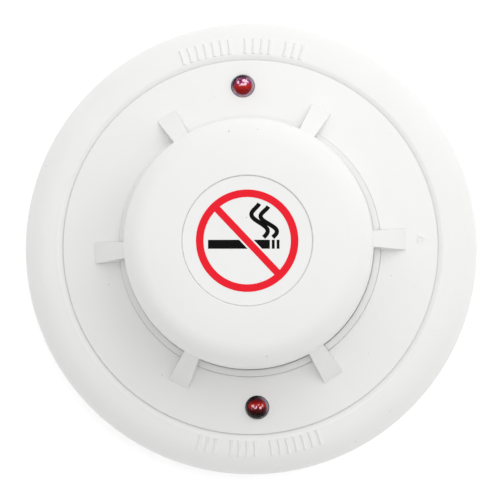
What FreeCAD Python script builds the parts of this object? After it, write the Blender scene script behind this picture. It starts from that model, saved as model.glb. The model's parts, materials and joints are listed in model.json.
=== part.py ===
import FreeCAD, Part
import math
import os

# Ceiling heat detector: a twist-lock detector head in a round mounting base.
# Millimetres. The origin is the centre of the base's back face, which lies on the
# ceiling in use. +Z points out of the front, +X to the alignment mark, +Y to lamp 1.

Vec = FreeCAD.Vector
Z_AXIS = Vec(0, 0, 1)
ORIGIN = Vec(0, 0, 0)

# ---- Driving dimensions -------------------------------------------------------

# Overall plan
base_radius = 51.0          # widest radius of the base's outer ring
ring_width = 9.4            # from that radius in to the edge of the head's disc
shoulder_width = 14.6       # from the edge of the disc in to the cap's wall

# Heights, from the back face outwards
floor_thickness = 2.2
wiring_height = 5.8         # clear space for wires between floor and head
plate_thickness = 1.8       # rear cover and its bayonet lugs
lug_gap = 0.4               # between lug and ledge
ledge_thickness = 1.9
disc_gap = 0.35             # between ledge and the disc's underside
disc_edge = 2.65            # from the disc's underside to the top of its edge
shoulder_angle = 16.0       # rise of the conical shoulder, degrees
collar_height = 3.3
slit_height = 3.5           # entry slit between collar and cap
cap_height = 19.6

# Outer ring of the base
ring_round = 8.0            # large rounding of the ring
ring_fall = 1.5             # how far the ring's top falls towards its edge
foot_tuck = 0.8             # how far the foot is set in from the widest radius
foot_height = 3.2
crest_inset = 8.15          # from the widest radius in to the ring's crest
crest_drop = 0.2            # from the top of the disc's edge down to the ring's crest
lip_drop = 0.6              # fall of the ring's lip from the crest to the inner wall
wall = 2.0
skin = 1.9                  # thickness of the ring's outer skin
groove_cover = 4.6          # material above the groove in the back
web_count = 12
web_thickness = 1.4

# Relief marks
mark_relief = 0.35
mark_length = 3.4
mark_width = 1.0            # at the foot of a mark's sloping sides
mark_pitch = 2.3            # degrees from one mark to the next
mark_groups = (3, 4, 7)
mark_inset = 0.3            # from the ring's crest to the marks
arrow_length = 1.9
arrow_relief = 0.22
arrow_stroke = 0.38
arrow_inset = 3.6           # from the disc's edge in to the middle of the mark

# Mounting and cable entry
cable_radius = 10.0
cable_collar_wall = 1.5
cable_collar_height = 1.0
slot_width = 4.4
slot_travel = 9.0           # between the two end positions of a screw
slot_margin = 4.5           # from the inner wall in to the slot's end

# Bayonet
skirt_inset = 2.4           # from the disc's edge in to the skirt
skirt_thickness = 1.2
skirt_gap = 0.4             # between skirt and ledge
lug_length = 1.65
lug_tip_gap = 0.35
rim_gap = 0.36              # between the disc and the ring, all round the seam
lug_angles = (15.0, 135.0, 255.0)
lug_spans = (18.0, 14.0, 14.0)
twist = 20.0                # turn from locked to free, degrees
lug_side_gap = 1.2          # degrees
stop_span = 4.0             # degrees

# Terminals
terminal_angles = (45.0, 135.0, 225.0, 315.0)
terminal_gap = 3.9          # from the chamber's flange out to the terminal circle
pad_length = 22.0
pad_width = 9.0
pad_height = 1.0
strip_thickness = 0.4
strip_width = 5.4
contact_gap = 0.3           # between spring and blade, which press together in use
clamp_size = 6.4
clamp_thickness = 0.8
screw_radius = 1.45
screw_head_radius = 2.7
screw_head_height = 1.8
rivet_radius = 0.8
rivet_head_radius = 1.4
rivet_head_height = 0.6
blade_thickness = 0.6
blade_length = 9.0
blade_width = 5.0
tab_width = 2.4
tab_thickness = 0.6

# Shell of the head
disc_round = 0.28
shell = 2.1
collar_thickness = 1.4
collar_bevel = 0.6          # fall of the collar's bevelled top
collar_land = 0.25          # flat left inside the bevel
seam_width = 0.3            # groove round the collar's foot
seam_depth = 0.4
collar_gap = 0.2            # from the cap's wall out to the collar
throat_depth = 4.5          # from the collar's top down to the throat's floor
throat_thickness = 1.6
fit_gap = 0.15              # between pieces that locate each other
rest_gap = 0.05             # under pieces that rest on each other

# Cap and ribs
cap_wall = 1.8
cap_draft = 1.1             # how far the wall leans in by its upper corner
cap_corner_drop = 2.0
cap_round = 6.0
crown_inset = 9.0           # from the wall in to the bend of the crown
crown_drop = 0.35
crown_round = 50.0
rib_count = 6
rib_length = 7.3
rib_rise = 1.6              # rib's top above the cap's lower edge
rib_toe = 0.25
rib_top_width = 3.4
rib_foot_width = 4.7
peg_radius = 1.0
peg_offset = 2.75           # from the collar out to the pegs

# Label
label_radius = 13.4
label_thickness = 0.3
label_recess = 0.5
label_gap = 0.2

# Lamps
lamp_radius = 2.5
lamp_flange = 0.4
lamp_inset = 6.0            # from the disc's edge in to the lamps
lamp_gap = 0.15
lamp_angles = (90.0, 270.0)
lead_pitch = 1.27
lead_side = 0.5

# Circuit board and its parts
board_thickness = 1.6
board_gap = 0.6
board_stand_off = 1.6
case_screw_angles = (15.0, 105.0, 195.0, 285.0)
case_screw_inset = 6.4      # from the skirt's outside in to the screws
case_screw_radius = 1.2
case_screw_head = 2.4
case_screw_head_height = 1.1
boss_radius = 2.6
chip_size = (5.0, 6.2, 1.5)
capacitor_size = (3.6, 2.8, 1.9)
bridge_size = (4.7, 3.9, 1.8)
resistor_size = (2.0, 1.25, 0.6)
resistor_count = 12
part_circle_gap = 2.6       # from the chamber's flange out to the parts' inner side

# Sensing chamber
screen_gap = 3.2            # from the cap's inner wall in to the screen
screen_thickness = 0.4
screen_slots = 40
screen_rows = 3
chamber_floor = 2.0
flange_overlap = 1.0
chamber_top_gap = 2.5       # from the labyrinth's lid to the cap's inside
vane_count = 14
vane_thickness = 1.0
vane_length = 4.0
lid_thickness = 1.2
eye_radius = 1.5
eye_length = 4.5
eye_height = 6.0            # optical axis above the chamber's floor
eye_angles = (20.0, 150.0)
eye_inset = 12.0            # from the screen in to the tip of each eye
holder_wall = 1.2
can_wall = 0.3
bead_radius = 0.9
bead_lead_radius = 0.25
bead_lead_pitch = 1.2
bead_angles = (30.0, 210.0)

# ---- Derived levels and radii -------------------------------------------------

disc_radius = base_radius - ring_width
cap_radius = disc_radius - shoulder_width
slope = math.tan(math.radians(shoulder_angle))

plate_bottom = floor_thickness + wiring_height
plate_top = plate_bottom + plate_thickness
ledge_bottom = plate_top + lug_gap
ledge_top = ledge_bottom + ledge_thickness
disc_bottom = ledge_top + disc_gap
disc_top = disc_bottom + disc_edge
crest = disc_top - crest_drop

collar_inner = cap_radius + collar_gap
collar_outer = collar_inner + collar_thickness
shoulder_top = disc_top + (disc_radius - collar_outer) * slope
collar_top = shoulder_top + collar_height
cap_bottom = collar_top + slit_height
cap_top = cap_bottom + cap_height

skirt_radius = disc_radius - skirt_inset
skirt_inner = skirt_radius - skirt_thickness
ledge_radius = skirt_radius + skirt_gap
lug_radius = skirt_radius + lug_length
wall_radius = lug_radius + lug_tip_gap
crest_radius = base_radius - crest_inset
groove_inner = wall_radius + wall
groove_outer = base_radius - skin

board_bottom = plate_top + board_stand_off
board_top = board_bottom + board_thickness
board_radius = skirt_inner - board_gap
lamp_circle = disc_radius - lamp_inset
case_screw_circle = skirt_radius - case_screw_inset

throat_top = collar_top - throat_depth
throat_bottom = throat_top - throat_thickness
cap_inner = cap_radius - cap_wall
screen_radius = cap_inner - screen_gap
throat_radius = screen_radius + 2 * rest_gap + 0.5
flange_radius = throat_radius + flange_overlap
terminal_circle = flange_radius + terminal_gap
chamber_top = board_top + chamber_floor
screen_top = cap_top - label_recess - cap_wall - chamber_top_gap - lid_thickness
eye_level = chamber_top + eye_height
eye_circle = screen_radius - eye_inset
part_circle = flange_radius + part_circle_gap
bead_circle = (screen_radius + collar_inner) / 2 + 0.1
peg_circle = collar_outer + peg_offset
rib_end = cap_radius + rib_length


# ---- Helpers --------------------------------------------------------------------

def fused(shapes):
    """One solid from shapes that touch or overlap."""
    return shapes[0].multiFuse(shapes[1:]).removeSplitter()


def cut(shape, tools):
    """The shape with every tool taken out of it."""
    return shape.cut(Part.makeCompound(tools))


def turned(shape, angle):
    """A copy of the shape, turned about the Z axis by an angle in degrees."""
    copy = shape.copy()
    copy.rotate(ORIGIN, Z_AXIS, angle)
    return copy


def outline(points):
    """A closed wire in the XZ plane. A third number rounds that corner by its radius."""
    count = len(points)
    starts = []
    ends = []
    middles = []
    for index, point in enumerate(points):
        here = Vec(point[0], 0, point[1])
        before = points[index - 1]
        after = points[(index + 1) % count]
        back = (Vec(before[0], 0, before[1]) - here).normalize()
        ahead = (Vec(after[0], 0, after[1]) - here).normalize()
        if len(point) < 3:
            starts.append(here)
            ends.append(here)
            middles.append(None)
            continue
        half = back.getAngle(ahead) / 2
        reach = point[2] / math.tan(half)
        centre = here + (back + ahead).normalize() * (point[2] / math.sin(half))
        starts.append(here + back * reach)
        ends.append(here + ahead * reach)
        middles.append(centre + (here - centre).normalize() * point[2])
    edges = []
    for index in range(count):
        if middles[index] is not None:
            edges.append(Part.Arc(starts[index], middles[index], ends[index]).toShape())
        following = starts[(index + 1) % count]
        if (following - ends[index]).Length > 1e-6:
            edges.append(Part.makeLine(ends[index], following))
    return Part.Wire(edges)


def revolved(points, start=0.0, span=360.0):
    """The outline turned about the Z axis, from one angle over a span."""
    solid = Part.Face(outline(points)).revolve(ORIGIN, Z_AXIS, span)
    return turned(solid, start)


def ring(inner, outer, low, high, start=0.0, span=360.0):
    """A plain ring, or a sector of it."""
    return revolved([(inner, low), (outer, low), (outer, high), (inner, high)], start, span)


def rod(radius, low, high, at=0.0, angle=0.0):
    """An upright cylinder at a distance and an angle from the axis."""
    return turned(Part.makeCylinder(radius, high - low, Vec(at, 0, low)), angle)


def block(size_x, size_y, low, high, at=0.0, across=0.0, angle=0.0):
    """An upright box centred on a point, turned about the Z axis."""
    corner = Vec(at - size_x / 2, across - size_y / 2, low)
    return turned(Part.makeBox(size_x, size_y, high - low, corner), angle)


def prism(points, low, high):
    """An upright prism on an outline in the XY plane."""
    corners = [Vec(x, y, low) for x, y in points]
    face = Part.Face(Part.makePolygon(corners + corners[:1]))
    return face.extrude(Vec(0, 0, high - low))


def side_prism(points, width):
    """A prism on an outline in the XZ plane, centred across the Y axis."""
    corners = [Vec(x, -width / 2, z) for x, z in points]
    face = Part.Face(Part.makePolygon(corners + corners[:1]))
    return face.extrude(Vec(0, width, 0))


def shoulder(radius):
    """Height of the head's conical shoulder at a radius."""
    return disc_top + (disc_radius - radius) * slope


def save(name, shape):
    """Write one node."""
    shape.exportStep(os.path.join("parts", name + ".step"))


# ---- Mounting base ----------------------------------------------------------------

def ring_body(relief=0.0):
    """The base's moulded body of revolution, with its outer ring grown by a relief."""
    edge = base_radius + relief
    top = crest + relief
    return revolved([
        (cable_radius, 0),
        (edge - foot_tuck, 0),
        (edge, foot_height, 3.0),
        (edge, top - ring_fall, ring_round + relief),
        (crest_radius, top, 0.8),
        (wall_radius, crest - lip_drop),
        (wall_radius, floor_thickness),
        (cable_radius, floor_thickness),
    ])


def ring_height(radius):
    """Height of the outer ring's rounded top at a radius."""
    fall = ring_fall / (base_radius - crest_radius)
    tilt = math.atan(fall)
    centre_radius = base_radius - ring_round
    centre_height = crest - (centre_radius - crest_radius) * fall - ring_round / math.cos(tilt)
    if radius < centre_radius + ring_round * math.sin(tilt):
        return crest - (radius - crest_radius) * fall
    return centre_height + math.sqrt(ring_round ** 2 - (radius - centre_radius) ** 2)


def ring_marks():
    """Short plain radial ridges in relief, in groups, along two arcs of the ring."""
    start = crest_radius + mark_inset
    foot = Vec(start, 0, ring_height(start))
    along = Vec(start + mark_length, 0, ring_height(start + mark_length)) - foot
    half = mark_width / 2
    corners = [(-2 * half, -half), (2 * half, -half), (0, half)]
    section = [foot + Vec(0, side, rise) for side, rise in corners]
    ridge = Part.Face(Part.makePolygon(section + section[:1])).extrude(along)
    ridges = []
    places = sum(mark_groups) + len(mark_groups) - 2
    for arc_middle in lamp_angles:
        place = -places / 2
        for group in mark_groups:
            for _ in range(group):
                ridges.append(turned(ridge, arc_middle + place * mark_pitch))
                place += 1
            place += 1
    return ring_body(mark_relief).common(Part.makeCompound(ridges))


def back_groove():
    """The hollow in the back of the outer ring, less its radial webs."""
    top = crest - groove_cover
    groove = revolved([
        (groove_inner, -1),
        (groove_outer, -1),
        (groove_outer, top - 3.4),
        (groove_inner + 1.2, top),
        (groove_inner, top),
    ])
    webs = [block(ring_width, web_thickness, 1.0, crest, base_radius - ring_width / 2, 0,
                  (k + 0.5) * 360 / web_count) for k in range(web_count)]
    return cut(groove, webs)


def ledges():
    """Bayonet ledges with an entry gap for each lug, and a stop at each end of its travel."""
    outer = wall_radius + wall / 2
    pieces = [ring(ledge_radius, outer, ledge_bottom, ledge_top)]
    gaps = []
    for angle, span in zip(lug_angles, lug_spans):
        half = span / 2 + lug_side_gap
        gaps.append(ring(ledge_radius - 1, wall_radius, ledge_bottom - 1, ledge_top + 1,
                         angle + twist - half, 2 * half))
    pieces = [cut(pieces[0], gaps)]
    for angle, span in zip(lug_angles, lug_spans):
        half = span / 2 + lug_side_gap
        for start in (angle - half - stop_span, angle + twist + half):
            pieces.append(ring(ledge_radius, outer, plate_bottom, ledge_top, start, stop_span))
    return pieces


def slot_centre():
    """Distance of a fixing slot's middle from the axis."""
    return wall_radius - slot_margin - (slot_width + slot_travel) / 2


def fixing_slots():
    """Two radial slots for the ceiling screws."""
    middle = slot_centre()
    slots = []
    for side in (0, 180):
        slots.append(block(slot_travel, slot_width, -1, floor_thickness + 1, middle, 0, side))
        for end in (-slot_travel / 2, slot_travel / 2):
            slots.append(rod(slot_width / 2, -1, floor_thickness + 1, middle + end, side))
    return slots


def lock_place():
    """Angle of the locking spring, clear of every lug's travel."""
    return lug_angles[0] + 60


def lock_pad_radius():
    """Distance from the axis of the flat face that carries the locking spring."""
    return wall_radius - 0.9


def lock_pads():
    """Two flat pads on the inside of the wall that carry the locking spring's feet."""
    outer = wall_radius + wall / 2
    pads = []
    for side in (-6.5, 6.5):
        depth = outer - lock_pad_radius()
        pads.append(block(depth, 3.0, floor_thickness - 0.5, plate_top - 0.2,
                          lock_pad_radius() + depth / 2, side, lock_place()))
    return pads


def terminal_pads():
    """Raised pads on the floor under the four contact springs."""
    top = floor_thickness + pad_height
    return [block(pad_width, pad_length, floor_thickness - 0.5, top, terminal_circle, 0, angle)
            for angle in terminal_angles]


def terminal_screw_offset():
    """Distance of the terminal screw from the middle of its pad, along the pad."""
    return -pad_length / 2 + 5.0


def terminal_rivet_offset():
    """Distance of the spring's rivet from the middle of its pad, along the pad."""
    return terminal_screw_offset() + clamp_size / 2 + 1.9


def along_pad(shape, offset, angle):
    """Move a shape made on the terminal circle's X position along its pad."""
    moved = shape.copy()
    moved.translate(Vec(terminal_circle, offset, 0))
    return turned(moved, angle)


def mounting_base():
    collar = ring(cable_radius, cable_radius + cable_collar_wall,
                  floor_thickness - 0.5, floor_thickness + cable_collar_height)
    solid = fused([ring_body(), collar] + ledges() + lock_pads() + terminal_pads())
    holes = [back_groove()] + fixing_slots()
    low = floor_thickness - 1.4
    high = floor_thickness + pad_height + 1
    for angle in terminal_angles:
        screw_hole = Part.makeCylinder(screw_radius + rest_gap, high - low, Vec(0, 0, low))
        rivet_hole = Part.makeCylinder(rivet_radius + rest_gap, high - low, Vec(0, 0, low))
        holes.append(along_pad(screw_hole, terminal_screw_offset(), angle))
        holes.append(along_pad(rivet_hole, terminal_rivet_offset(), angle))
    solid = cut(solid, holes)
    return solid.fuse(ring_marks()).removeSplitter()


# ---- Terminals in the base ----------------------------------------------------------

def contact_spring(angle):
    """A bent strip: a flat foot under the clamp, a rising tongue and a turned-down tip."""
    foot = floor_thickness + pad_height
    peak = plate_bottom - blade_thickness - contact_gap - strip_thickness
    bend = terminal_rivet_offset() + rivet_head_radius + 0.4
    end = pad_length / 2
    path = [(-end + 1.0, foot), (bend, foot), (end - 4.0, peak), (end - 2.6, peak), (end, peak - 1.6)]
    upper = [(along, level + strip_thickness) for along, level in reversed(path)]
    corners = [Vec(-strip_width / 2, along, level) for along, level in path + upper]
    face = Part.Face(Part.makePolygon(corners + corners[:1]))
    strip = face.extrude(Vec(strip_width, 0, 0))
    strip = cut(strip, [
        Part.makeCylinder(screw_radius + fit_gap, 4, Vec(0, terminal_screw_offset(), foot - 2)),
        Part.makeCylinder(rivet_radius + rest_gap, 4, Vec(0, terminal_rivet_offset(), foot - 2)),
    ])
    return along_pad(strip, 0, angle)


def terminal_screw(angle):
    """A slotted cheese-head screw through clamp and spring into the pad."""
    head_low = floor_thickness + pad_height + strip_thickness + clamp_thickness
    head = Part.makeCylinder(screw_head_radius, screw_head_height, Vec(0, 0, head_low))
    low = floor_thickness - 1.2
    shank = Part.makeCylinder(screw_radius, head_low - low + 0.2, Vec(0, 0, low))
    slot = Part.makeBox(2 * screw_head_radius + 2, 0.8, 1.0,
                        Vec(-screw_head_radius - 1, -0.4, head_low + screw_head_height - 0.8))
    return along_pad(head.fuse(shank).cut(slot), terminal_screw_offset(), angle)


def wire_clamp(angle):
    """A square clamp plate under the screw's head, with two turned-down edges cut as a step."""
    low = floor_thickness + pad_height + strip_thickness
    plate = Part.makeBox(clamp_size, clamp_size, clamp_thickness,
                         Vec(-clamp_size / 2, -clamp_size / 2, low))
    hole = Part.makeCylinder(screw_radius + fit_gap, 4, Vec(0, 0, low - 1))
    relief = Part.makeBox(clamp_size - 1.6, clamp_size + 2, 0.3,
                          Vec(-clamp_size / 2 + 0.8, -clamp_size / 2 - 1, low - 0.1))
    return along_pad(plate.cut(hole).cut(relief), terminal_screw_offset(), angle)


def spring_rivet(angle):
    """A domed rivet that holds the spring to its pad."""
    head_low = floor_thickness + pad_height + strip_thickness
    head = Part.makeCylinder(rivet_head_radius, rivet_head_height, Vec(0, 0, head_low))
    low = floor_thickness - 1.2
    shank = Part.makeCylinder(rivet_radius, head_low - low + 0.2, Vec(0, 0, low))
    return along_pad(head.fuse(shank), terminal_rivet_offset(), angle)


def lock_spring():
    """A bowed leaf on the wall that snaps against the rim of the head's rear cover."""
    foot = lock_pad_radius()
    nose = skirt_radius + 0.45
    path = [(foot - strip_thickness, -8.0), (foot - strip_thickness, -5.0), (nose, -1.2), (nose, 1.2),
            (foot - strip_thickness, 5.0), (foot - strip_thickness, 8.0)]
    outside = [(radius + strip_thickness, along) for radius, along in reversed(path)]
    return turned(prism(path + outside, plate_bottom - 2.0, plate_top - 0.3), lock_place())


# ---- Rear cover of the head -----------------------------------------------------------

def blade_offset():
    """Distance of a blade's middle from its pad's middle, over the spring's peak."""
    return pad_length / 2 - 3.3


def tab_offset():
    """Distance of a blade's upright tab from the pad's middle."""
    return blade_offset() + blade_length / 2 - tab_width / 2


def blade_rivet_offset():
    """Distance of a blade's rivet from the pad's middle."""
    return blade_offset() - blade_length / 2 + 1.6


def rear_cover():
    plate = rod(skirt_radius, plate_bottom, plate_top)
    rim_outer = skirt_inner - fit_gap
    pieces = [plate, ring(rim_outer - 1.2, rim_outer, plate_top - 0.5, plate_top + 1.2)]
    for angle, span in zip(lug_angles, lug_spans):
        pieces.append(ring(skirt_radius - 1, lug_radius, plate_bottom, plate_top,
                           angle - span / 2, span))
    for angle in case_screw_angles:
        pieces.append(rod(boss_radius, plate_top - 0.5, board_bottom, case_screw_circle, angle))
    solid = fused(pieces)
    holes = []
    for angle in case_screw_angles:
        holes.append(rod(case_screw_radius + fit_gap, plate_bottom - 1, board_bottom + 1,
                         case_screw_circle, angle))
        holes.append(rod(case_screw_head + fit_gap, plate_bottom - 1,
                         plate_bottom + case_screw_head_height, case_screw_circle, angle))
    for angle in terminal_angles:
        slot = block(tab_thickness + 2 * fit_gap, tab_width + 2 * fit_gap,
                     plate_bottom - 1, plate_top + 1)
        hole = Part.makeCylinder(rivet_radius + rest_gap, plate_thickness + 2,
                                 Vec(0, 0, plate_bottom - 1))
        holes.append(along_pad(slot, tab_offset(), angle))
        holes.append(along_pad(hole, blade_rivet_offset(), angle))
    holes.append(rod(cable_radius, plate_bottom - 1, plate_bottom + 0.6))
    return cut(solid, holes)


def contact_blade(angle):
    """A flat blade under the rear cover with a tab up through the circuit board."""
    low = plate_bottom - blade_thickness
    blade = along_pad(block(blade_width, blade_length, low, plate_bottom), blade_offset(), angle)
    tab = along_pad(block(tab_thickness, tab_width, low, board_top + 0.8), tab_offset(), angle)
    hole = along_pad(Part.makeCylinder(rivet_radius + rest_gap, 2, Vec(0, 0, low - 1)),
                     blade_rivet_offset(), angle)
    return blade.fuse(tab).removeSplitter().cut(hole)


def blade_rivet(angle):
    """A rivet through blade and rear cover, headed inside the head."""
    low = plate_bottom - blade_thickness
    shank = Part.makeCylinder(rivet_radius, plate_top - low + 0.1, Vec(0, 0, low))
    head = Part.makeCylinder(rivet_head_radius, rivet_head_height, Vec(0, 0, plate_top))
    return along_pad(shank.fuse(head), blade_rivet_offset(), angle)


def case_screw(angle):
    """A pan-head screw sunk in the rear cover, through the board into a boss."""
    head_top = plate_bottom + case_screw_head_height
    tip = shoulder(case_screw_circle) - shell + 0.7
    head = rod(case_screw_head, plate_bottom + 0.1, head_top, case_screw_circle, angle)
    shank = rod(case_screw_radius, head_top - 0.1, tip, case_screw_circle, angle)
    slot = block(2 * case_screw_head + 1, 0.8, plate_bottom, plate_bottom + 0.6,
                 case_screw_circle, 0, angle)
    return head.fuse(shank).cut(slot)


# ---- Front cover of the head --------------------------------------------------------

def lip(radius):
    """Height of the ring's sloping lip at a radius."""
    return crest - lip_drop * (crest_radius - radius) / (crest_radius - wall_radius)


def front_shell(relief=0.0):
    """The disc, shoulder, collar and skirt as one body of revolution."""
    under = shoulder(skirt_inner) - shell
    step = wall_radius - rim_gap
    seam_radius = collar_outer + seam_width
    throat_turn = disc_radius - (throat_bottom + shell - disc_top) / slope
    return revolved([
        (skirt_radius, plate_top),
        (skirt_radius, disc_bottom),
        (step, disc_bottom),
        (step, lip(wall_radius) + rim_gap),
        (disc_radius, lip(disc_radius) + rim_gap),
        (disc_radius, disc_top + relief, disc_round),
        (seam_radius, shoulder(seam_radius) + relief),
        (seam_radius, shoulder_top - seam_depth),
        (collar_outer, shoulder_top - seam_depth),
        (collar_outer, collar_top - collar_bevel, 0.15),
        (collar_inner + collar_land, collar_top, 0.2),
        (collar_inner, collar_top),
        (collar_inner, throat_top),
        (throat_radius, throat_top),
        (throat_radius, throat_bottom),
        (throat_turn, throat_bottom),
        (skirt_inner, under),
        (skirt_inner, plate_top),
    ])


def arrow_mark():
    """A small hollow triangle in relief, pointing outwards on the +X side."""
    middle = disc_radius - arrow_inset
    half = arrow_length / 2
    inner = half - 1.45 * arrow_stroke
    low = shoulder(middle) - 1.0
    outer = prism([(middle - half, -half), (middle + half, 0), (middle - half, half)], low, low + 3)
    hole = prism([(middle - half + arrow_stroke, -inner), (middle + inner, 0),
                  (middle - half + arrow_stroke, inner)], low - 1, low + 4)
    return outer.cut(hole).common(front_shell(arrow_relief))


def front_cover():
    pieces = [front_shell()]
    for angle in case_screw_angles:
        pieces.append(rod(boss_radius, board_top, shoulder(case_screw_circle) - shell + 0.4,
                          case_screw_circle, angle))
    solid = fused(pieces)
    holes = []
    for angle in case_screw_angles:
        tip = shoulder(case_screw_circle) - shell + 0.8
        holes.append(rod(case_screw_radius + rest_gap, board_top - 1, tip, case_screw_circle, angle))
    for angle in lamp_angles:
        holes.append(rod(lamp_radius + lamp_gap, board_top - 1, shoulder_top + 3, lamp_circle, angle))
        holes.append(rod(lamp_radius + lamp_flange + fit_gap, board_top - 1,
                         board_top + 1.5, lamp_circle, angle))
    for angle in bead_angles:
        holes.append(rod(bead_lead_pitch / 2 + bead_lead_radius + 0.3, board_top, throat_top + 1,
                         bead_circle, angle))
    for index in range(rib_count):
        holes.append(rod(peg_radius + fit_gap, board_top, shoulder_top + 2,
                         peg_circle, index * 360 / rib_count))
    return cut(solid, holes).fuse(arrow_mark()).removeSplitter()


def indicator_lamp(angle):
    """A domed lamp with a flange and two leads through the board."""
    centre = shoulder(lamp_circle)
    seat = board_top + 0.2
    body = revolved([
        (0, seat),
        (lamp_radius + lamp_flange, seat),
        (lamp_radius + lamp_flange, seat + 0.9),
        (lamp_radius, seat + 0.9),
        (lamp_radius, centre),
        (lamp_radius, centre + lamp_radius, lamp_radius * 0.999),
        (0, centre + lamp_radius),
    ])
    leads = [block(lead_side, lead_side, board_bottom - 0.9, seat + 0.3, 0, side)
             for side in (-lead_pitch, lead_pitch)]
    lamp = body.fuse(leads[0]).fuse(leads[1])
    lamp.translate(Vec(lamp_circle, 0, 0))
    return turned(lamp, angle)


# ---- Cap ------------------------------------------------------------------------------

def rib(angle):
    """A drafted wedge from the cap's wall over the collar down to the shoulder, with a peg."""
    inner = cap_radius - 1.5
    over = collar_outer + rest_gap
    wedge = side_prism([
        (inner, collar_top + rest_gap),
        (over, collar_top + rest_gap),
        (over, shoulder(over) + rest_gap),
        (rib_end, shoulder(rib_end) + rest_gap),
        (rib_end, shoulder(rib_end) + rib_toe),
        (cap_radius - 0.2, cap_bottom + rib_rise),
        (inner, cap_bottom + rib_rise),
    ], rib_foot_width + 2)
    low = shoulder(rib_end)
    high = cap_bottom + rib_rise
    draft = [Vec(inner - 1, -rib_foot_width / 2, low), Vec(inner - 1, rib_foot_width / 2, low),
             Vec(inner - 1, rib_top_width / 2, high), Vec(inner - 1, -rib_top_width / 2, high)]
    flanks = Part.Face(Part.makePolygon(draft + draft[:1])).extrude(Vec(rib_end - inner + 2, 0, 0))
    peg_low = shoulder(peg_circle) - shell
    peg = rod(peg_radius, peg_low, shoulder(peg_circle) + 1.0, peg_circle)
    return turned(wedge.common(flanks).fuse(peg), angle)


def sensor_cap():
    corner_radius = cap_radius - cap_draft
    recess_radius = label_radius + label_gap
    outside = revolved([
        (0, cap_bottom),
        (cap_radius, cap_bottom, 0.3),
        (corner_radius, cap_top - cap_corner_drop, cap_round),
        (cap_radius - crown_inset, cap_top - crown_drop, crown_round),
        (recess_radius, cap_top, 0.2),
        (recess_radius, cap_top - label_recess),
        (0, cap_top - label_recess),
    ])
    ceiling = cap_top - label_recess - cap_wall
    inside = revolved([
        (0, cap_bottom - 1),
        (cap_inner, cap_bottom - 1),
        (cap_inner, cap_bottom),
        (corner_radius - cap_wall, cap_top - cap_corner_drop - cap_wall, cap_round - cap_wall),
        (recess_radius, ceiling),
        (0, ceiling),
    ])
    solid = fused([outside] + [rib(index * 360 / rib_count) for index in range(rib_count)])
    return solid.cut(inside)


def label_plate():
    low = cap_top - label_recess
    return rod(label_radius, low, low + label_thickness)


# ---- Circuit board --------------------------------------------------------------------

def circuit_board():
    board = rod(board_radius, board_bottom, board_top)
    low = board_bottom - 1
    high = board_top + 1
    holes = [rod(case_screw_radius + fit_gap, low, high, case_screw_circle, angle)
             for angle in case_screw_angles]
    for angle in terminal_angles:
        slot = block(tab_thickness + 2 * fit_gap, tab_width + 2 * fit_gap, low, high)
        holes.append(along_pad(slot, tab_offset(), angle))
    for angle in lamp_angles:
        for side in (-lead_pitch, lead_pitch):
            hole = Part.makeCylinder(lead_side * 0.75, high - low, Vec(lamp_circle, side, low))
            holes.append(turned(hole, angle))
    for angle in bead_angles:
        for side in (-bead_lead_pitch / 2, bead_lead_pitch / 2):
            hole = Part.makeCylinder(bead_lead_radius + rest_gap, high - low,
                                     Vec(bead_circle, side, low))
            holes.append(turned(hole, angle))
    return cut(board, holes)


def control_chip():
    """A moulded package with a row of legs on each long side."""
    length, across, height = chip_size
    package = block(length, across - 2.4, board_top + 0.15, board_top + height)
    legs = [block(0.4, 1.5, board_top, board_top + 0.5, (k - 1.5) * 1.27, side * (across / 2 - 0.75))
            for side in (-1, 1) for k in range(4)]
    chip = fused([package] + legs)
    chip.translate(Vec((flange_radius + lamp_circle - lamp_radius - lamp_flange) / 2, 0, 0))
    return turned(chip, lamp_angles[0])


def board_parts(size, angles, low):
    """Small box-shaped parts on the board, one at each angle."""
    length, width, height = size
    return [block(length, width, low, low + height, part_circle + length / 2, 0, angle)
            for angle in angles]


# ---- Sensing chamber --------------------------------------------------------------------

def thermistor(angle):
    """A glass bead on two wires, held in the entry slit."""
    level = (collar_top + cap_bottom) / 2
    bead = Part.makeSphere(bead_radius, Vec(0, 0, level))
    wires = [Part.makeCylinder(bead_lead_radius, level - board_bottom + 0.6,
                               Vec(0, side, board_bottom - 0.6))
             for side in (-bead_lead_pitch / 2, bead_lead_pitch / 2)]
    sensor = bead.fuse(wires[0]).fuse(wires[1])
    sensor.translate(Vec(bead_circle, 0, 0))
    return turned(sensor, angle)


def eye(angle):
    """A lamp-shaped optical part lying on the optical axis, with two bent leads."""
    tip = eye_circle
    back = tip + eye_length
    body = Part.makeCylinder(eye_radius, eye_length - eye_radius, Vec(tip + eye_radius, 0, eye_level),
                             Vec(1, 0, 0))
    dome = Part.makeSphere(eye_radius, Vec(tip + eye_radius, 0, eye_level))
    pieces = [body, dome]
    for side in (-0.6, 0.6):
        pieces.append(block(1.4, 0.4, eye_level - 0.2, eye_level + 0.2, back + 0.6, side))
        pieces.append(block(0.4, 0.4, board_bottom - 0.4 + 0.5, eye_level + 0.2, back + 1.1, side))
    return turned(fused(pieces), angle)


def eye_leads_clear(angle):
    """The holes in the chamber's floor and the board that an eye's leads pass through."""
    return block(1.0, 2.2, board_bottom - 1, chamber_top + 1, eye_circle + eye_length + 1.1, 0, angle)


def eye_holder(angle):
    """A cradle on the chamber's floor with a round seat for an eye."""
    side = 2 * (eye_radius + holder_wall)
    start = eye_circle + 1.6
    length = eye_length - 1.9
    body = block(length, side, chamber_top - 0.5, eye_level, start + length / 2)
    seat = Part.makeCylinder(eye_radius + rest_gap, length + 4, Vec(start - 2, 0, eye_level),
                             Vec(1, 0, 0))
    return turned(body.cut(seat), angle)


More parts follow.
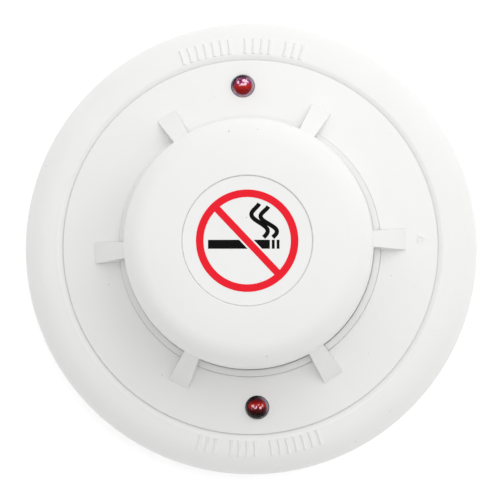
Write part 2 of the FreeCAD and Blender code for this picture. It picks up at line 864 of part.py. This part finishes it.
def chamber_base():
    """A dark disc that carries the eyes, with a rim that centres the insect screen."""
    floor = rod(flange_radius, board_top, chamber_top)
    rim_outer = screen_radius - screen_thickness - rest_gap
    rim = ring(rim_outer - 1.0, rim_outer, chamber_top - 0.5, chamber_top + 1.5)
    solid = fused([floor, rim] + [eye_holder(angle) for angle in eye_angles])
    return cut(solid, [eye_leads_clear(angle) for angle in eye_angles])


def labyrinth():
    """A lidded cage of angled vanes that keeps light out and lets air through."""
    outer = screen_radius - screen_thickness - rest_gap
    floor = chamber_top + 1.5 + rest_gap
    lid = rod(outer, screen_top, screen_top + lid_thickness)
    hoop = ring(outer - 1.0, outer, floor, floor + 1.0)
    pieces = [lid, hoop]
    for index in range(vane_count):
        vane = block(vane_length, vane_thickness, floor, screen_top + 0.3)
        vane.rotate(ORIGIN, Z_AXIS, 40)
        vane.translate(Vec(outer - vane_length / 2 - 0.1, 0, 0))
        pieces.append(turned(vane, index * 360 / vane_count))
    return fused(pieces).common(rod(outer, floor, screen_top + lid_thickness))


def insect_screen():
    """A thin cylinder of sheet with rows of windows all round."""
    top = screen_top + lid_thickness
    sleeve = ring(screen_radius - screen_thickness, screen_radius, chamber_top, top)
    row_height = (top - chamber_top - 3.0) / screen_rows
    width = 2 * math.pi * screen_radius / screen_slots * 0.62
    windows = []
    for row in range(screen_rows):
        low = chamber_top + 2.0 + row * row_height
        for index in range(screen_slots):
            windows.append(block(3.0, width, low, low + row_height - 1.2, screen_radius, 0,
                                 (index + 0.5 * (row % 2)) * 360 / screen_slots))
    return cut(sleeve, windows)


def air_seal():
    return ring(throat_radius, flange_radius, chamber_top, throat_bottom)


def screening_can():
    """A thin folded can over the receiver's back, open towards the optical axis."""
    start = eye_circle + 1.4
    length = eye_length + 1.2
    inner = 2 * (eye_radius + holder_wall) + 0.2
    high = eye_level + eye_radius + 0.4
    low = chamber_top
    outside = block(length, inner + 2 * can_wall, low, high + can_wall, start + length / 2)
    inside = block(length, inner, low - 1, high, start + length / 2 - can_wall)
    return turned(outside.cut(inside), eye_angles[1])


# ---- Write every node -------------------------------------------------------------------

def build():
    os.makedirs("parts", exist_ok=True)
    save("mounting_base", mounting_base())
    for index, angle in enumerate(terminal_angles):
        save("contact_spring_%d" % (index + 1), contact_spring(angle))
        save("contact_blade_%d" % (index + 1), contact_blade(angle))
    save("terminal_screws", Part.makeCompound([terminal_screw(a) for a in terminal_angles]))
    save("wire_clamps", Part.makeCompound([wire_clamp(a) for a in terminal_angles]))
    save("spring_rivets", Part.makeCompound([spring_rivet(a) for a in terminal_angles]))
    save("lock_spring", lock_spring())
    save("rear_cover", rear_cover())
    save("blade_rivets", Part.makeCompound([blade_rivet(a) for a in terminal_angles]))
    save("case_screws", Part.makeCompound([case_screw(a) for a in case_screw_angles]))
    save("front_cover", front_cover())
    save("sensor_cap", sensor_cap())
    save("label_plate", label_plate())
    for index, angle in enumerate(lamp_angles):
        save("indicator_lamp_%d" % (index + 1), indicator_lamp(angle))
    save("circuit_board", cut(circuit_board(), [eye_leads_clear(a) for a in eye_angles]))
    save("control_chip", control_chip())
    save("tantalum_capacitors",
         Part.makeCompound(board_parts(capacitor_size, (130, 180, 230), board_top)))
    save("bridge_rectifier", board_parts(bridge_size, (0,), board_top)[0])
    spread = [22.5 + k * 360 / resistor_count for k in range(resistor_count)]
    save("chip_resistors", Part.makeCompound(
        board_parts(resistor_size, spread, board_bottom - resistor_size[2])))
    for index, angle in enumerate(bead_angles):
        save("thermistor_%d" % (index + 1), thermistor(angle))
    save("air_seal", air_seal())
    save("chamber_base", chamber_base())
    save("labyrinth", labyrinth())
    save("insect_screen", insect_screen())
    save("infrared_emitter", eye(eye_angles[0]))
    save("photodiode", eye(eye_angles[1]))
    save("screening_can", screening_can())


build()
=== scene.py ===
import json
import math

import bmesh
import bpy
from mathutils import Matrix, Vector


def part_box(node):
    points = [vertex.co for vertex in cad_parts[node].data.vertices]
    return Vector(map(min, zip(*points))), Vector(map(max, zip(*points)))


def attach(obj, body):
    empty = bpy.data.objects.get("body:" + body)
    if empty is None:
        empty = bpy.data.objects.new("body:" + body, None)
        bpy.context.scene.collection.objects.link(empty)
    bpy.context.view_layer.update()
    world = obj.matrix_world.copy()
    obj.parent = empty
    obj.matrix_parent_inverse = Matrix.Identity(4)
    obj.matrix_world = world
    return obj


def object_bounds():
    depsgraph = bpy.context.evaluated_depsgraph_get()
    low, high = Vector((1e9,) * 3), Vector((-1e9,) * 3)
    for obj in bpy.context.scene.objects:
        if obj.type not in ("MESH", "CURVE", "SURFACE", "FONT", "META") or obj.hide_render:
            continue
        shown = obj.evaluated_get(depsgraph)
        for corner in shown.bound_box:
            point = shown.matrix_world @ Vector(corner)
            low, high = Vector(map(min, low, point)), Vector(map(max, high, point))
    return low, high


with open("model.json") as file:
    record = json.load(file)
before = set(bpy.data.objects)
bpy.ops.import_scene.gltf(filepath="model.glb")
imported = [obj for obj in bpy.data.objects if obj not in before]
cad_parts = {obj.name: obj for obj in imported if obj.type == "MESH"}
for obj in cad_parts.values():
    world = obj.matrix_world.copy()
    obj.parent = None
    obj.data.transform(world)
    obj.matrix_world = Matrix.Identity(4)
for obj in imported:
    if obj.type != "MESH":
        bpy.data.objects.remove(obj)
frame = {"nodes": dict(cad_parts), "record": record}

# The looks of a ceiling heat detector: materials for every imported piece, the print on its
# label, the insides of its two lamps, the camera, the light and the floor.
# Everything is in metres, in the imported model's frame: +Z is out of the detector's front.

MM = 0.001
cad_low, cad_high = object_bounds()
nodes = frame["nodes"]
scene = bpy.context.scene

# How the object lies in the picture
ROLL = math.radians(2.55)              # the detector is turned this much, anticlockwise
CAMERA_DISTANCE = 450 * MM
CAMERA_ASIDE = Vector((8.43, -18.27)) * MM   # camera's place across the detector's axis
AIM = Vector((-0.27, -0.37, 5.0)) * MM
VIEW_WIDTH = 113.4 * MM                # width of the picture at the aim
SENSOR = 36.0

# How bright the surroundings are, and where the light comes from
LIGHT_FROM = (0.15, 0.29, 0.94)
DIM_SIDE = 0.35                        # strength at and below DIM_COSINE to that direction
BRIGHT_SIDE = 1.12                     # strength at and above BRIGHT_COSINE
DIM_COSINE = 0.05
BRIGHT_COSINE = 0.95
KEY_PLACE = (0.3, 0.36, 0.85)
KEY_SIZE = 0.7
KEY_POWER = 2.0
KEY_TARGET = (0.0, 0.0, 0.02)

# The floor, which glows a little more under the detector than round it
FLOOR_HALF = 3.0
FLOOR_DROP = 0.05 * MM                 # from the detector's back down to the floor
COVERED_RADIUS = (46 * MM, 49 * MM)    # between these the glow fades
COVERED_GLOW = 0.32
OPEN_GLOW = 0.26


# ---- Small helpers ------------------------------------------------------------------

class Surface:
    """A node material with helpers that add procedural detail to its main shader."""

    def __init__(self, name, color, roughness, metallic=0.0):
        self.material = bpy.data.materials.new(name)
        self.material.use_nodes = True
        self.tree = self.material.node_tree
        self.shader = self.tree.nodes["Principled BSDF"]
        self.color = color
        self.set("Base Color", (*color, 1.0))
        self.set("Roughness", roughness)
        self.set("Metallic", metallic)
        self.place = self.add("ShaderNodeTexCoord").outputs["Object"]
        self.normal = None

    def add(self, kind, **settings):
        """A new node, with its properties set."""
        node = self.tree.nodes.new(kind)
        for key, value in settings.items():
            setattr(node, key, value)
        return node

    def link(self, start, end):
        self.tree.links.new(start, end)

    def set(self, socket, value):
        """Set a constant on the shader's own socket."""
        self.shader.inputs[socket].default_value = value

    def noise(self, size, detail=2.0, stretch=None):
        """Noise whose features are about this size, in metres."""
        node = self.add("ShaderNodeTexNoise")
        node.inputs["Scale"].default_value = 1.0 / size
        node.inputs["Detail"].default_value = detail
        source = self.place
        if stretch:
            mapping = self.add("ShaderNodeMapping")
            mapping.inputs["Scale"].default_value = stretch
            self.link(self.place, mapping.inputs["Vector"])
            source = mapping.outputs["Vector"]
        self.link(source, node.inputs["Vector"])
        return node.outputs["Fac"]

    def ramp(self, value, low, high, start=0.0, end=1.0):
        """Map a value's range from low..high to start..end, clamped."""
        node = self.add("ShaderNodeMapRange")
        self.link(value, node.inputs["Value"])
        for key, number in (("From Min", low), ("From Max", high), ("To Min", start), ("To Max", end)):
            node.inputs[key].default_value = number
        return node.outputs["Result"]

    def tint(self, value, color):
        """Mix the colour so far towards another one by a value."""
        node = self.add("ShaderNodeMix", data_type="RGBA")
        socket = self.shader.inputs["Base Color"]
        if socket.links:
            self.link(socket.links[0].from_socket, node.inputs["A"])
        else:
            node.inputs["A"].default_value = (*self.color, 1.0)
        node.inputs["B"].default_value = (*color, 1.0)
        self.link(value, node.inputs["Factor"])
        self.link(node.outputs["Result"], socket)

    def specks(self, spacing, radius, color, amount):
        """A few tiny dark specks, as dust or moulding flecks leave."""
        cells = self.add("ShaderNodeTexVoronoi")
        cells.inputs["Scale"].default_value = 1.0 / spacing
        self.link(self.place, cells.inputs["Vector"])
        tone = self.add("ShaderNodeSeparateXYZ")
        self.link(cells.outputs["Color"], tone.inputs["Vector"])
        near = self.ramp(cells.outputs["Distance"], radius / spacing, 0.6 * radius / spacing, 0.0, amount)
        chosen = self.add("ShaderNodeMath", operation="MULTIPLY")
        self.link(near, chosen.inputs[0])
        self.link(self.ramp(tone.outputs["Y"], 0.6, 0.75), chosen.inputs[1])
        self.tint(chosen.outputs[0], color)

    def vary_roughness(self, size, low, high):
        self.link(self.ramp(self.noise(size), 0.3, 0.7, low, high), self.shader.inputs["Roughness"])

    def glow(self, strength):
        """Give off a little light in the surface's own colours."""
        colors = self.shader.inputs["Base Color"].links[0].from_socket
        self.link(colors, self.shader.inputs["Emission Color"])
        self.set("Emission Strength", strength)

    def bump(self, height, depth, strength=1.0):
        """Add relief of a depth in metres, on top of any relief so far."""
        node = self.add("ShaderNodeBump")
        node.inputs["Strength"].default_value = strength
        node.inputs["Distance"].default_value = depth
        self.link(height, node.inputs["Height"])
        if self.normal:
            self.link(self.normal, node.inputs["Normal"])
        self.normal = node.outputs["Normal"]
        self.link(self.normal, self.shader.inputs["Normal"])


def new_piece(name, mesh, material, body, smooth=True):
    """A mesh object that rides on a body and takes the given material."""
    piece = bpy.data.objects.new(name, mesh)
    scene.collection.objects.link(piece)
    mesh.materials.append(material)
    if smooth:
        mesh.shade_smooth()
    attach(piece, body)
    return piece


def lathe(name, profile, steps=64):
    """A closed mesh turned about the Z axis from (radius, height) points off the axis."""
    mesh = bpy.data.meshes.new(name)
    shape = bmesh.new()
    rings = []
    for radius, height in profile:
        if radius < 1e-9:
            rings.append([shape.verts.new((0, 0, height))])
            continue
        rings.append([shape.verts.new((radius * math.cos(2 * math.pi * k / steps),
                                       radius * math.sin(2 * math.pi * k / steps), height))
                      for k in range(steps)])
    for lower, upper in zip(rings, rings[1:]):
        for k in range(steps):
            after = (k + 1) % steps
            corners = [lower[k % len(lower)], lower[after % len(lower)],
                       upper[after % len(upper)], upper[k % len(upper)]]
            shape.faces.new(list(dict.fromkeys(corners)))
    bmesh.ops.recalc_face_normals(shape, faces=shape.faces)
    shape.to_mesh(mesh)
    shape.free()
    return mesh


def plate(name, outlines, low, high, move):
    """Flat closed shapes between two heights. Each outline is a list of (x, y) corners."""
    mesh = bpy.data.meshes.new(name)
    shape = bmesh.new()
    for points in outlines:
        flat = [move @ Vector((x, y, 0.0)) for x, y in points]
        under = [shape.verts.new((p.x, p.y, low)) for p in flat]
        over = [shape.verts.new((p.x, p.y, high)) for p in flat]
        count = len(points)
        shape.faces.new(over)
        shape.faces.new(under[::-1])
        for k in range(count):
            shape.faces.new((under[k], under[(k + 1) % count], over[(k + 1) % count], over[k]))
    bmesh.ops.recalc_face_normals(shape, faces=shape.faces)
    bmesh.ops.triangulate(shape, faces=[f for f in shape.faces if len(f.verts) > 4])
    shape.to_mesh(mesh)
    shape.free()
    return mesh


# ---- Materials ------------------------------------------------------------------------

def moulded_white():
    """Satin moulded plastic: a fine grain, slight unevenness and a few tiny specks."""
    surface = Surface("moulded_white", (0.86, 0.86, 0.855), 0.48)
    surface.tint(surface.ramp(surface.noise(14 * MM, 3.0), 0.35, 0.7, 0.0, 0.5), (0.84, 0.84, 0.825))
    surface.specks(3.4 * MM, 0.16 * MM, (0.2, 0.19, 0.18), 0.85)
    surface.vary_roughness(3 * MM, 0.44, 0.56)
    surface.bump(surface.noise(9 * MM, 2.0), 0.05 * MM, 0.35)
    surface.bump(surface.noise(0.35 * MM, 3.0), 0.012 * MM, 0.6)
    surface.set("Specular IOR Level", 0.3)
    return surface.material


def label_film():
    """Smooth white film with a faint waviness."""
    surface = Surface("label_film", (0.85, 0.85, 0.845), 0.3)
    surface.tint(surface.ramp(surface.noise(4 * MM, 3.0), 0.4, 0.7, 0.0, 0.6), (0.83, 0.835, 0.82))
    surface.specks(2.6 * MM, 0.13 * MM, (0.2, 0.2, 0.2), 0.8)
    surface.vary_roughness(2 * MM, 0.26, 0.36)
    surface.bump(surface.noise(2.5 * MM, 2.0), 0.02 * MM, 0.3)
    return surface.material


def ink(name, color, worn):
    """Screen-printed ink: even colour with slight mottling."""
    surface = Surface(name, color, 0.5)
    surface.tint(surface.ramp(surface.noise(1.4 * MM, 4.0), 0.4, 0.75, 0.0, 0.5), worn)
    surface.vary_roughness(1 * MM, 0.45, 0.6)
    surface.set("Specular IOR Level", 0.08)
    surface.bump(surface.noise(0.3 * MM, 2.0), 0.004 * MM, 0.4)
    return surface.material


def lamp_epoxy():
    """Clear epoxy with a faint red tint, slightly uneven like a cast dome."""
    surface = Surface("lamp_epoxy", (0.97, 0.78, 0.8), 0.03)
    surface.set("Transmission Weight", 1.0)
    surface.set("IOR", 1.2)
    surface.tint(surface.ramp(surface.noise(0.9 * MM, 2.0), 0.4, 0.7, 0.0, 0.5), (0.93, 0.68, 0.74))
    surface.vary_roughness(0.8 * MM, 0.02, 0.06)
    surface.bump(surface.noise(1.2 * MM, 1.0), 0.01 * MM, 0.2)
    return surface.material


def across_lamp(surface, centre, direction):
    """Distance from a lamp's centre along a direction across the detector's axis."""
    dot = surface.add("ShaderNodeVectorMath", operation="DOT_PRODUCT")
    dot.inputs[1].default_value = (direction[0], direction[1], 0.0)
    shift = surface.add("ShaderNodeMath", operation="SUBTRACT")
    surface.link(surface.place, dot.inputs[0])
    surface.link(dot.outputs["Value"], shift.inputs[0])
    shift.inputs[1].default_value = centre.x * direction[0] + centre.y * direction[1]
    return shift.outputs[0]


def lamp_core(name, centre, look):
    """The core of a lamp: one tone above, one below, and painted glints between them: pale cells that stand
    in for reflections.
    """
    surface = Surface(name, look["below"], 0.3)
    height = across_lamp(surface, centre, (0.0, 1.0))
    side = across_lamp(surface, centre, (1.0, 0.0))
    middle = look["middle"] * MM
    surface.tint(surface.ramp(height, middle - 0.2 * MM, middle - 1.3 * MM), look["foot"])
    surface.tint(surface.ramp(height, middle - 0.2 * MM, middle + 0.4 * MM), look["above"])
    surface.tint(surface.ramp(height, middle + 0.8 * MM, middle + 1.5 * MM), look["brow"])
    # painted reflections: pale Voronoi cells, tinted in below, stand in for glints inside the lamp
    cells = surface.add("ShaderNodeTexVoronoi")
    cells.inputs["Scale"].default_value = 1.0 / (0.5 * MM)
    surface.link(surface.place, cells.inputs["Vector"])
    tone = surface.add("ShaderNodeSeparateXYZ")
    surface.link(cells.outputs["Color"], tone.inputs["Vector"])
    painted_glints = surface.ramp(tone.outputs["X"], look["sparse"], look["sparse"] + 0.12)
    reach = look["reach"] * MM
    for edge in (surface.ramp(height, middle - 0.35 * MM, middle),
                 surface.ramp(height, middle + reach, middle + 0.7 * reach),
                 surface.ramp(side, -1.25 * MM, -1.0 * MM),
                 surface.ramp(side, 1.35 * MM, 1.1 * MM)):
        product = surface.add("ShaderNodeMath", operation="MULTIPLY")
        surface.link(painted_glints, product.inputs[0])
        surface.link(edge, product.inputs[1])
        painted_glints = product.outputs[0]
    surface.tint(painted_glints, (1.0, 0.78, 0.9))
    surface.set("Specular IOR Level", 0.05)
    # painted light: a faint glow lifts the core's tones
    surface.glow(look["glow"])
    return surface.material


def lamp_rim(name, centre, look):
    """The clear edge of a lamp: pale violet grey, with painted shade that turns it near black towards one
    side.
    """
    surface = Surface(name, (0.55, 0.5, 0.6), 0.35)
    surface.tint(surface.ramp(surface.noise(0.7 * MM, 2.0), 0.4, 0.7, 0.0, 0.5), (0.3, 0.22, 0.34))
    # painted shade: the rim darkens to near black towards one side
    across = across_lamp(surface, centre, look["dark"])
    start = look["edge"] * MM
    surface.tint(surface.ramp(across, start, start + 1.2 * MM), (0.004, 0.002, 0.004))
    surface.set("Specular IOR Level", 0.05)
    # painted light: a faint glow lifts the rim's tones
    surface.glow(look["glow"])
    return surface.material


def metal(name, color, low, high, along=(1.0, 1.0, 1.0), grain=0.25 * MM):
    """Drawn, rolled or plated metal with a stretched grain."""
    surface = Surface(name, color, low, 1.0)
    darker = tuple(0.72 * part for part in color)
    surface.tint(surface.ramp(surface.noise(3 * MM, 3.0), 0.4, 0.75, 0.0, 0.7), darker)
    surface.vary_roughness(1.2 * MM, low, high)
    surface.bump(surface.noise(grain, 2.0, along), 0.006 * MM, 0.5)
    return surface.material


def moulded_dark(name, color, low, high, grain=0.3 * MM):
    """Dark moulded plastic, epoxy or foam with a fine matt grain."""
    surface = Surface(name, color, low)
    lighter = tuple(min(1.0, 1.6 * part + 0.01) for part in color)
    surface.tint(surface.ramp(surface.noise(2 * MM, 3.0), 0.45, 0.75, 0.0, 0.5), lighter)
    surface.vary_roughness(1.5 * MM, low, high)
    surface.bump(surface.noise(grain, 3.0), 0.02 * MM, 0.5)
    return surface.material


def solder_mask():
    """Green solder mask with raised tracks."""
    surface = Surface("solder_mask", (0.03, 0.2, 0.08), 0.3)
    cells = surface.add("ShaderNodeTexVoronoi", feature="DISTANCE_TO_EDGE", distance="MANHATTAN")
    cells.inputs["Scale"].default_value = 1.0 / (3.2 * MM)
    surface.link(surface.place, cells.inputs["Vector"])
    tracks = surface.ramp(cells.outputs["Distance"], 0.04, 0.07, 1.0, 0.0)
    surface.tint(tracks, (0.06, 0.32, 0.13))
    surface.tint(surface.ramp(surface.noise(6 * MM, 2.0), 0.4, 0.7, 0.0, 0.5), (0.02, 0.15, 0.06))
    surface.vary_roughness(2 * MM, 0.24, 0.36)
    surface.bump(tracks, 0.03 * MM, 0.6)
    return surface.material


def floor_material():
    """A plain pale floor. Its underside lets the view through, so that the back can be seen.
    It glows a little more where the detector covers it, which lights the back."""
    surface = Surface("floor", (0.95, 0.95, 0.95), 0.8)
    surface.set("Emission Color", (1.0, 1.0, 1.0, 1.0))
    radius = surface.add("ShaderNodeVectorMath", operation="LENGTH")
    surface.link(surface.place, radius.inputs[0])
    glow = surface.ramp(radius.outputs["Value"], *COVERED_RADIUS, COVERED_GLOW, OPEN_GLOW)
    surface.link(glow, surface.shader.inputs["Emission Strength"])
    output = surface.tree.nodes["Material Output"]
    clear = surface.add("ShaderNodeBsdfTransparent")
    mix = surface.add("ShaderNodeMixShader")
    side = surface.add("ShaderNodeNewGeometry").outputs["Backfacing"]
    surface.link(side, mix.inputs["Fac"])
    surface.link(surface.shader.outputs["BSDF"], mix.inputs[1])
    surface.link(clear.outputs["BSDF"], mix.inputs[2])
    surface.link(mix.outputs["Shader"], output.inputs["Surface"])
    return surface.material


def dress_nodes():
    """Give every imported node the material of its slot."""
    looks = {
        "housing_white": moulded_white(),
        "label_white": label_film(),
        "lamp_red": lamp_epoxy(),
        "spring_bronze": metal("rolled_bronze", (0.78, 0.53, 0.3), 0.25, 0.4, (1.0, 1.0, 6.0)),
        "plated_steel": metal("nickel_plate", (0.68, 0.67, 0.64), 0.22, 0.36),
        "screw_steel": metal("zinc_plate", (0.66, 0.66, 0.64), 0.28, 0.45, (1.0, 1.0, 5.0)),
        "rivet_brass": metal("turned_brass", (0.8, 0.6, 0.26), 0.22, 0.34),
        "board_green": solder_mask(),
        "package_black": moulded_dark("moulded_epoxy", (0.03, 0.03, 0.032), 0.45, 0.6),
        "capacitor_tan": moulded_dark("tan_epoxy", (0.72, 0.42, 0.07), 0.35, 0.5),
        "resistor_ceramic": moulded_dark("chip_glaze", (0.05, 0.05, 0.06), 0.2, 0.35),
        "bead_glass": moulded_dark("bead_coating", (0.35, 0.1, 0.04), 0.12, 0.25),
        "seal_foam": moulded_dark("closed_foam", (0.07, 0.07, 0.07), 0.85, 0.95, 0.5 * MM),
        "chamber_black": moulded_dark("dull_black", (0.018, 0.018, 0.02), 0.6, 0.8, 0.2 * MM),
        "screen_steel": metal("etched_steel", (0.42, 0.42, 0.41), 0.35, 0.5),
        "eye_dark": moulded_dark("eye_epoxy", (0.03, 0.015, 0.05), 0.06, 0.15),
    }
    for part in frame["record"]["subparts"]:
        mesh = nodes[part["node"]].data
        mesh.materials.clear()
        mesh.materials.append(looks[part["material_slot"]])
    return looks


# ---- The label's print ------------------------------------------------------------------

SIGN_RADIUS = 10.6 * MM
SIGN_BAND = 1.56 * MM
BAR_WIDTH = 1.5 * MM
BAR_ANGLE = math.radians(-46.6)
BAR_GAP = 0.34 * MM                    # bare film on each side of the bar
GAP_LENGTH = 7.4 * MM
GAP_SHIFT = 1.0 * MM                   # along the bar, towards its lower end
BAR_OVERLAP = 0.2 * MM                 # of each end of the bar into the ring
LAYER = 0.012 * MM                     # thickness of one layer of print

CIGARETTE_AXIS = -0.75 * MM            # below the sign's middle
CIGARETTE_HALF = 0.93 * MM             # half its width
CIGARETTE_PARTS = ((-8.1 * MM, 4.7 * MM), (5.1 * MM, 5.7 * MM), (6.1 * MM, 6.7 * MM))
SMOKE_LINES = ((5.3 * MM, 6.4 * MM), (3.4 * MM, 7.0 * MM))    # place and height of each line
SMOKE_WIDTH = 0.9 * MM
SMOKE_GAP = 0.5 * MM                   # from the cigarette up to the smoke
SMOKE_DRIFT = 1.9 * MM
SMOKE_SWAY = 1.25 * MM
SMOKE_WAVES = 1.15


def stroke(path, width):
    """The outline of a line of constant width along a path."""
    left = []
    right = []
    for k, (x, y) in enumerate(path):
        before = path[max(k - 1, 0)]
        after = path[min(k + 1, len(path) - 1)]
        along = Vector((after[0] - before[0], after[1] - before[1])).normalized()
        left.append((x - along.y * width / 2, y + along.x * width / 2))
        right.append((x + along.y * width / 2, y - along.x * width / 2))
    return left + right[::-1]


def smoke(start_x, start_y, height, steps=28):
    """A plain wavy line that rises and drifts to the left."""
    points = []
    for k in range(steps + 1):
        t = k / steps
        sway = SMOKE_SWAY * math.sin(2 * math.pi * SMOKE_WAVES * t)
        points.append((start_x - SMOKE_DRIFT * t + sway, start_y + height * t))
    return points


def print_label(film):
    """A generic no-smoking sign: ring and bar in red over a plain cigarette in black."""
    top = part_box("label_plate")[1].z
    upright = Matrix.Rotation(-ROLL, 3, "Z")
    red = ink("ink_red", (0.84, 0.012, 0.026), (0.8, 0.02, 0.04))
    black = ink("ink_black", (0.001, 0.001, 0.001), (0.003, 0.003, 0.003))

    bottom = CIGARETTE_AXIS - CIGARETTE_HALF
    upper = CIGARETTE_AXIS + CIGARETTE_HALF
    inks = [[(start, bottom), (end, bottom), (end, upper), (start, upper)] for start, end in CIGARETTE_PARTS]
    inks += [stroke(smoke(x, upper + SMOKE_GAP, height), SMOKE_WIDTH) for x, height in SMOKE_LINES]
    new_piece("print_black", plate("print_black", inks, top, top + LAYER, upright), black,
              "head", smooth=False)

    along = Vector((math.cos(BAR_ANGLE), math.sin(BAR_ANGLE)))
    across = Vector((-along.y, along.x))

    def band(length, width, shift=0.0):
        ends = (-length / 2, length / 2)
        corners = [(ends[0], -width / 2), (ends[1], -width / 2), (ends[1], width / 2), (ends[0], width / 2)]
        return [tuple(along * (a + shift) + across * b) for a, b in corners]

    gap = band(GAP_LENGTH, BAR_WIDTH + 2 * BAR_GAP, GAP_SHIFT)
    new_piece("print_gap", plate("print_gap", [gap], top, top + 2 * LAYER, upright), film,
              "head", smooth=False)

    inner = SIGN_RADIUS - SIGN_BAND
    bar = band(2 * (inner + BAR_OVERLAP), BAR_WIDTH)
    new_piece("print_bar", plate("print_bar", [bar], top, top + 3 * LAYER, upright), red,
              "head", smooth=False)
    rim = [(inner, top), (SIGN_RADIUS, top), (SIGN_RADIUS, top + 4 * LAYER), (inner, top + 4 * LAYER),
           (inner, top)]
    new_piece("print_ring", lathe("print_ring", rim, 160), red, "head", smooth=False)


# ---- Inside the lamps ---------------------------------------------------------------------

# A lamp's core has four tones, from foot to brow, which meet round its middle (mm above the lamp's
# centre). Painted glints, pale cells that stand in for reflections, reach up from there; a larger "sparse"
# leaves fewer. Its rim has painted shade towards one side, from an edge (mm) on. "glow" is how much
# light both give off, a painted light that lifts their tones.
UPPER_LAMP = {"below": (0.5, 0.022, 0.012), "foot": (0.25, 0.008, 0.008), "above": (0.26, 0.015, 0.13),
              "brow": (0.12, 0.008, 0.08), "middle": 0.1, "reach": 1.4, "sparse": 0.32,
              "dark": (-0.5, 0.87), "edge": 0.1, "glow": 0.16}
LOWER_LAMP = {"below": (0.1, 0.002, 0.002), "foot": (0.001, 0.0, 0.0), "above": (0.45, 0.02, 0.008),
              "brow": (0.14, 0.004, 0.01), "middle": -0.1, "reach": 0.85, "sparse": 0.42,
              "dark": (-0.93, -0.37), "edge": -2.1, "glow": 0.14}


CORE_DEPTH = 0.7                # from the top of the clear dome down to the core, mm
# Outlines as (radius, depth below the core's top), mm
CORE_OUTLINE = ((0, 1.9), (1.5, 1.9), (1.74, 1.5), (1.64, 1.0), (1.22, 0.42), (0.66, 0.12), (0, 0))
RIM_OUTLINE = ((1.3, 2.4), (2.35, 2.4), (2.35, 1.75), (1.3, 2.1), (1.3, 2.4))


def fill_lamp(name, look):
    """A bowed core under a lamp's clear dome, inside a rim that closes its hole."""
    low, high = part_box(name)
    centre = (low + high) / 2
    top = high.z - CORE_DEPTH * MM
    for part, outline, finish in (("core", CORE_OUTLINE, lamp_core), ("rim", RIM_OUTLINE, lamp_rim)):
        piece = name + "_" + part
        mesh = lathe(piece, [(radius * MM, top - depth * MM) for radius, depth in outline], 48)
        mesh.transform(Matrix.Translation((centre.x, centre.y, 0)))
        new_piece(piece, mesh, finish(piece, centre, look), "head")


# ---- Camera, light and floor ----------------------------------------------------------------

def make_camera():
    data = bpy.data.cameras.new("camera")
    camera = bpy.data.objects.new("camera", data)
    scene.collection.objects.link(camera)
    scene.camera = camera
    data.sensor_width = SENSOR
    data.lens = SENSOR * CAMERA_DISTANCE / VIEW_WIDTH
    data.clip_start = 0.01
    place = Vector((CAMERA_ASIDE.x, CAMERA_ASIDE.y, AIM.z + CAMERA_DISTANCE))
    back = (place - AIM).normalized()
    up = Vector((math.sin(ROLL), math.cos(ROLL), 0.0))
    right = up.cross(back).normalized()
    turn = Matrix((right, back.cross(right), back)).transposed()
    camera.matrix_world = Matrix.Translation(place) @ turn.to_4x4()


def area_light(name, place, size, power):
    """A soft square white light that points at the detector."""
    data = bpy.data.lights.new(name, "AREA")
    data.size = size
    data.energy = power
    lamp = bpy.data.objects.new(name, data)
    scene.collection.objects.link(lamp)
    lamp.location = place
    away = Vector(place) - Vector(KEY_TARGET)
    lamp.rotation_euler = away.to_track_quat("Z", "Y").to_euler()


def make_light():
    """A bright studio that is lighter towards the upper right, with one large soft key."""
    world = bpy.data.worlds.new("studio")
    world.use_nodes = True
    tree = world.node_tree
    place = tree.nodes.new("ShaderNodeTexCoord")
    dot = tree.nodes.new("ShaderNodeVectorMath")
    dot.operation = "DOT_PRODUCT"
    dot.inputs[1].default_value = LIGHT_FROM
    span = tree.nodes.new("ShaderNodeMapRange")
    for key, number in (("From Min", DIM_COSINE), ("From Max", BRIGHT_COSINE),
                        ("To Min", DIM_SIDE), ("To Max", BRIGHT_SIDE)):
        span.inputs[key].default_value = number
    background = tree.nodes["Background"]
    background.inputs["Color"].default_value = (1.0, 1.0, 1.0, 1.0)
    tree.links.new(place.outputs["Generated"], dot.inputs[0])
    tree.links.new(dot.outputs["Value"], span.inputs["Value"])
    tree.links.new(span.outputs["Result"], background.inputs["Strength"])
    scene.world = world
    area_light("key", KEY_PLACE, KEY_SIZE, KEY_POWER)
    scene.view_settings.view_transform = "Standard"
    scene.view_settings.look = "None"


def make_floor():
    mesh = bpy.data.meshes.new("floor")
    corners = [(x * FLOOR_HALF, y * FLOOR_HALF, 0) for x, y in ((-1, -1), (1, -1), (1, 1), (-1, 1))]
    mesh.from_pydata(corners, [], [(0, 1, 2, 3)])
    floor = bpy.data.objects.new("floor", mesh)
    scene.collection.objects.link(floor)
    mesh.materials.append(floor_material())
    floor.location.z = cad_low.z - FLOOR_DROP


make_camera()
make_light()
make_floor()
looks = dress_nodes()
print_label(looks["label_white"])
fill_lamp("indicator_lamp_1", UPPER_LAMP)
fill_lamp("indicator_lamp_2", LOWER_LAMP)
